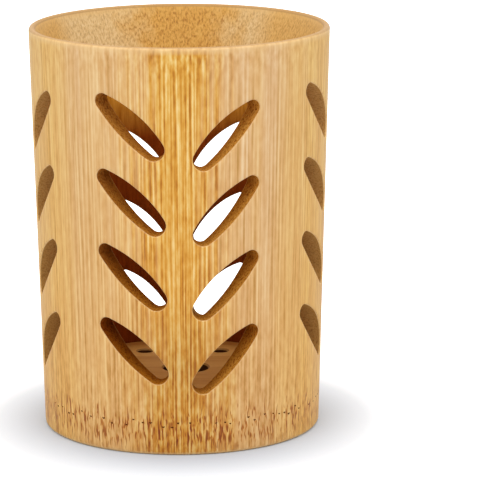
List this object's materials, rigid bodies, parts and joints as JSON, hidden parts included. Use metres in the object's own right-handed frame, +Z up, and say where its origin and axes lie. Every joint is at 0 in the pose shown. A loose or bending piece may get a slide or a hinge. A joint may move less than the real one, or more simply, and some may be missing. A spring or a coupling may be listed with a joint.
{
  "type": "toothbrush holder",
  "caption": "Free-standing cup turned from a bamboo culm, with V-set leaf slots through the wall and a drilled drain floor, for toothbrushes to stand in.",
  "frame": {"origin": "centre of the foot ring, on the surface that the cup stands on", "axes": "+Z up along the cup's axis; -Y is the front, where a stem of the V pattern stands in the middle; +X is to the right seen from the front"},
  "size_m": [0.08, 0.08, 0.108],
  "materials": {
    "bamboo_culm": "fine-sanded bamboo with a thin clear satin coat, fibres upright",
    "bamboo_floor": "sanded bamboo, darkened, matt"
  },
  "bodies": {
    "root": {"culm_wall": "bamboo_culm", "drain_floor": "bamboo_floor"}
  },
  "joints": []
}
